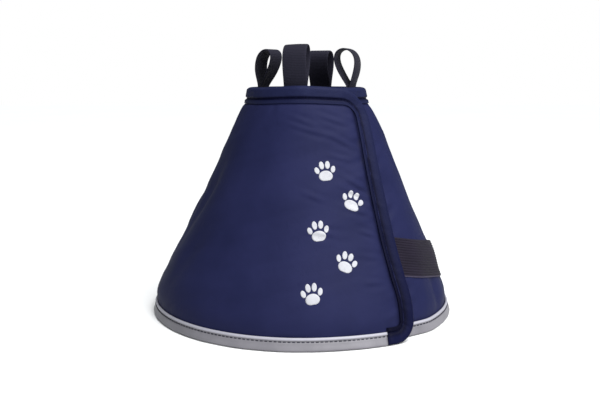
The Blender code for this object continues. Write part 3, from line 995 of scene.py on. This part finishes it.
class Finish:
    """One material: a Principled shader over soft creases and, on cloth, a weave.

    creases are the crumple's scale and ridges, weave its warp, weft and slub;
    relief and woven are the distance and strength of their bumps; rough is
    the range of the roughness, sheen its weight and roughness.
    """

    def __init__(self, name, roughness, specular, creases, relief=None, weave=None, woven=None,
                 rough=None, sheen=(0, 0.5)):
        self.material = bpy.data.materials.new(name)
        self.material.use_nodes = True
        self.tree = self.material.node_tree
        self.shader = self.tree.nodes["Principled BSDF"].inputs
        labels = "Roughness", "Specular IOR Level", "Sheen Weight", "Sheen Roughness"
        for label, value in zip(labels, (roughness, specular, *sheen)):
            self.shader[label].default_value = value
        scale, ridges = creases
        crumple = {"Place": self.node("TexCoord")["Object"], "Scale": scale, "Ridges": ridges}
        self.creases = self.node("Group", crumple, node_tree=CRUMPLE)
        bumps = [(self.creases, relief)]
        if weave:
            self.cloth = self.node("UVMap", uv_map="cloth")["UV"]
            numbers = dict(zip(("Warp", "Weft", "Slub"), weave))
            self.weave = self.node("Group", {"Place": self.cloth, **numbers}, node_tree=WEAVE)
            bumps.append((self.weave, woven))
        if rough:
            feed(self.tree, self.spread(self.creases["Shade"], *rough), self.shader["Roughness"])
        normal = {}
        for outputs, bump in bumps:
            if bump:
                inputs = {"Height": outputs["Height"], "Distance": bump[0], "Strength": bump[1], **normal}
                normal = {"Normal": self.node("Bump", inputs)["Normal"]}
                feed(self.tree, normal["Normal"], self.shader["Normal"])

    def node(self, kind, inputs=(), **settings):
        return add_node(self.tree, kind, inputs, **settings)

    def color(self, tones, low=0.25, high=0.75, by=None):
        """Base colour by a value: the dark tone up to low, the light one from high."""
        node = self.tree.nodes.new("ShaderNodeValToRGB")
        feed(self.tree, by or self.creases["Shade"], node.inputs["Fac"])
        for element, position, tone in zip(node.color_ramp.elements, (low, high), tones):
            element.position = position
            element.color = (*tone, 1)
        self.base = node.outputs["Color"]
        feed(self.tree, self.base, self.shader["Base Color"])

    def tint(self, mask, tone):
        """Turns the base colour to another tone where the mask is 1."""
        self.base = self.node("Mix", {0: mask, 6: self.base, 7: (*tone, 1)}, data_type="RGBA")[2]
        feed(self.tree, self.base, self.shader["Base Color"])

    def spread(self, value, low, high, start=0, end=1):
        """Value mapped from start..end to low..high."""
        ranges = {"From Min": start, "From Max": end, "To Min": low, "To Max": high}
        return self.node("MapRange", {"Value": value, **ranges})["Result"]

    def cloth_axis(self, axis):
        """Length along (X) or distance across (Y) the piece's flat cloth."""
        return self.node("SeparateXYZ", {0: self.cloth})[axis]


def navy_nylon():
    """Coated nylon taffeta: deep navy, satin, with fine weave and soft creases, and painted shade by the
    flap's seam and under its edge.
    """
    made = Finish("navy_nylon_cloth", 0.5, 0.07, creases=(26, 0.6), relief=(0.0016, 0.35),
                  weave=(0.0007, 0.0007, 0.3), woven=(0.00006, 0.4), rough=(0.5, 0.62))
    made.color(NYLON_TONES)
    # Painted shade beside the flap's seam and on the under layer by the flap's edge
    made.tint(made.node("Attribute", attribute_name="seam_shade")["Fac"], NYLON_IN_SEAM_SHADE)
    return made.material


def navy_binding():
    """Folded binding: fine ribs across it, with painted shade in the groove of its stitches.

    Down the flap it is darker with painted shade, most of all between the fold and the groove.
    """
    made = Finish("navy_binding_cloth", 0.55, 0.07, creases=(55, 0.5), relief=(0.0012, 0.4),
                  weave=(0.0009, 0.0005, 0.4), woven=(0.00012, 0.5), rough=(0.42, 0.6))
    length, depth = made.cloth_axis("X"), maths(made.tree, "ABSOLUTE", made.cloth_axis("Y"))
    off_line = maths(made.tree, "SUBTRACT", depth, BINDING_WIDTH - STITCH_LINE)
    # Painted shade in the groove along the stitch line
    pressed = made.spread(maths(made.tree, "ABSOLUTE", off_line), 1, 0, 0.0005, 0.0026)
    # Painted shade: the binding grows darker down the flap, along its length
    flap_shade = made.spread(length, 0, 0.95, 0.34, 0.6)
    lower = made.spread(length, 0.15, 0.9, 0.44, 0.6)
    # More painted shade down the flap, deeper in from the fold
    sunk_shade = maths(made.tree, "MULTIPLY", made.spread(depth, 0, 1, 0.007, 0.0105), lower)
    made.color(BINDING_TONES)
    made.tint(flap_shade, BINDING_IN_FLAP_SHADE)
    made.tint(sunk_shade, BINDING_IN_SUNK_SHADE)
    made.tint(pressed, BINDING_IN_STITCH_SHADE)
    return made.material


def reflective_tape():
    """Reflective tape: satin grey, with a painted highlight on the raised piping at its top edge."""
    made = Finish("reflective_tape_cloth", 0.45, 0.5, creases=(40, 0.4), relief=(0.001, 0.4),
                  weave=(0.0005, 0.0005, 0.5), woven=(0.00005, 0.5), rough=(0.34, 0.52))
    depth = maths(made.tree, "ABSOLUTE", made.cloth_axis("Y"))
    made.color(TAPE_TONES)
    # Painted highlight: a lighter strip along the tape's top edge, over the raised piping
    made.tint(made.spread(depth, 0, 1, TAPE_WIDTH - 0.0024, TAPE_WIDTH - 0.0019), TAPE_EDGE_HIGHLIGHT)
    return made.material


def black_webbing():
    """Polyester webbing: charcoal with a coarse plain weave, light where it crosses."""
    made = Finish("black_webbing_cloth", 0.7, 0.1, creases=(50, 0.3), sheen=(0.04, 0.4),
                  weave=(0.0016, 0.0011, 0.5), woven=(0.00022, 0.7), rough=(0.6, 0.8))
    made.color(WEBBING_TONES, 0, 1, by=made.weave["Mask"])
    return made.material


def ribbed_strap():
    """Ribbed belt: near black and matt, with a painted highlight along its lower edge."""
    made = Finish("ribbed_strap_cloth", 0.75, 0.1, creases=(50, 0.3), sheen=(0.05, 0.45),
                  weave=(0.0012, 0.0025, 0.5), woven=(0.0002, 0.7), rough=(0.65, 0.85))
    made.color(STRAP_TONES)
    # Painted highlight: a lighter strip along the strap's lower edge
    made.tint(made.spread(made.cloth_axis("Y"), 1, 0, 0.0008, 0.0013), STRAP_EDGE_HIGHLIGHT)
    return made.material


def thread(name, tones):
    """Sewing thread: a twist of two tones."""
    made = Finish(name, 0.7, 0.1, creases=(300, 0.5), relief=(0.0003, 0.6))
    made.color(tones, 0.3, 0.7)
    return made.material


def white_print():
    """Printed film: off-white with a faint lavender cast, a little rubbed."""
    made = Finish("white_print_film", 0.5, 0.4, creases=(90, 0.8), relief=(0.0004, 0.4))
    made.color(PRINT_TONES, 0.1, 0.45, by=made.creases["Height"])
    return made.material


def floor_finish():
    """Matt pale studio floor with a faint mottle, which throws back a softer light."""
    made = Finish("studio_floor", 0.9, 0.1, creases=(3, 0.1))
    made.color(FLOOR_TONES, 0.2, 0.8)
    made.tint(maths(made.tree, "SUBTRACT", 1, made.node("LightPath")["Is Camera Ray"]), FLOOR_BOUNCE)
    return made.material


def make_floor():
    """Level square of floor that runs on past the view."""
    points = FLOOR_HALF * np.array([[-1, -1, 0], [1, -1, 0], [1, 1, 0], [-1, 1, 0]])
    floor = make_mesh("studio_floor", points, np.array([[0, 1, 2, 3]]))
    floor.data.materials.append(floor_finish())


def add_light(light):
    """Light in its place, turned to face the middle of the cone."""
    data = bpy.data.lights.new(light.name, light.kind)
    data.energy = light.strength
    if light.kind == "AREA":
        data.size = light.size
    else:
        data.angle = math.radians(light.size)
    lamp = add_object(light.name, data)
    lamp.location = light.place_at
    back = np.array(light.place_at) - (0, 0, HEIGHT / 2)
    flat = math.hypot(back[0], back[1])
    lamp.rotation_euler = (math.atan2(flat, back[2]), 0, math.atan2(back[0], -back[1]))


def add_camera():
    """Camera in front of the cone, a little above it and looking down."""
    data = bpy.data.cameras.new("camera")
    data.sensor_width = SENSOR_WIDTH
    data.lens = FOCAL_PIXELS * SENSOR_WIDTH / FRAME_WIDTH
    camera = add_object("camera", data)
    camera.location = CAMERA_AT
    camera.rotation_euler = (math.pi / 2 - math.atan(HORIZON_PIXELS / FOCAL_PIXELS), 0, 0)
    bpy.context.scene.camera = camera


def light_studio():
    """White surroundings as seen, a dim tinted room as felt, and the lights."""
    world = bpy.data.worlds.new("studio")
    bpy.context.scene.world = world
    world.use_nodes = True
    tree = world.node_tree
    seen = add_node(tree, "LightPath")["Is Camera Ray"]
    shade = add_node(tree, "Mix", {0: seen, 6: (*ROOM_LIGHT, 1), 7: (1, 1, 1, 1)}, data_type="RGBA")[2]
    feed(tree, shade, tree.nodes["Background"].inputs["Color"])
    for light in LIGHTS:
        add_light(light)


bpy.context.scene.view_settings.view_transform = "Standard"
add_camera()
light_studio()
make_floor()

navy, binding = navy_nylon(), navy_binding()
tape, webbing, ribbed = reflective_tape(), black_webbing(), ribbed_strap()
navy_thread, grey_thread = thread("navy_thread", NAVY_THREAD), thread("grey_thread", GREY_THREAD)

make_panel(navy)
make_edge_binding(binding, navy_thread)
make_hidden_binding(binding)
make_hem_tape(tape, grey_thread)
for neck_loop in LOOPS:
    make_loop(neck_loop, webbing)
make_strap(ribbed)
make_print(white_print())
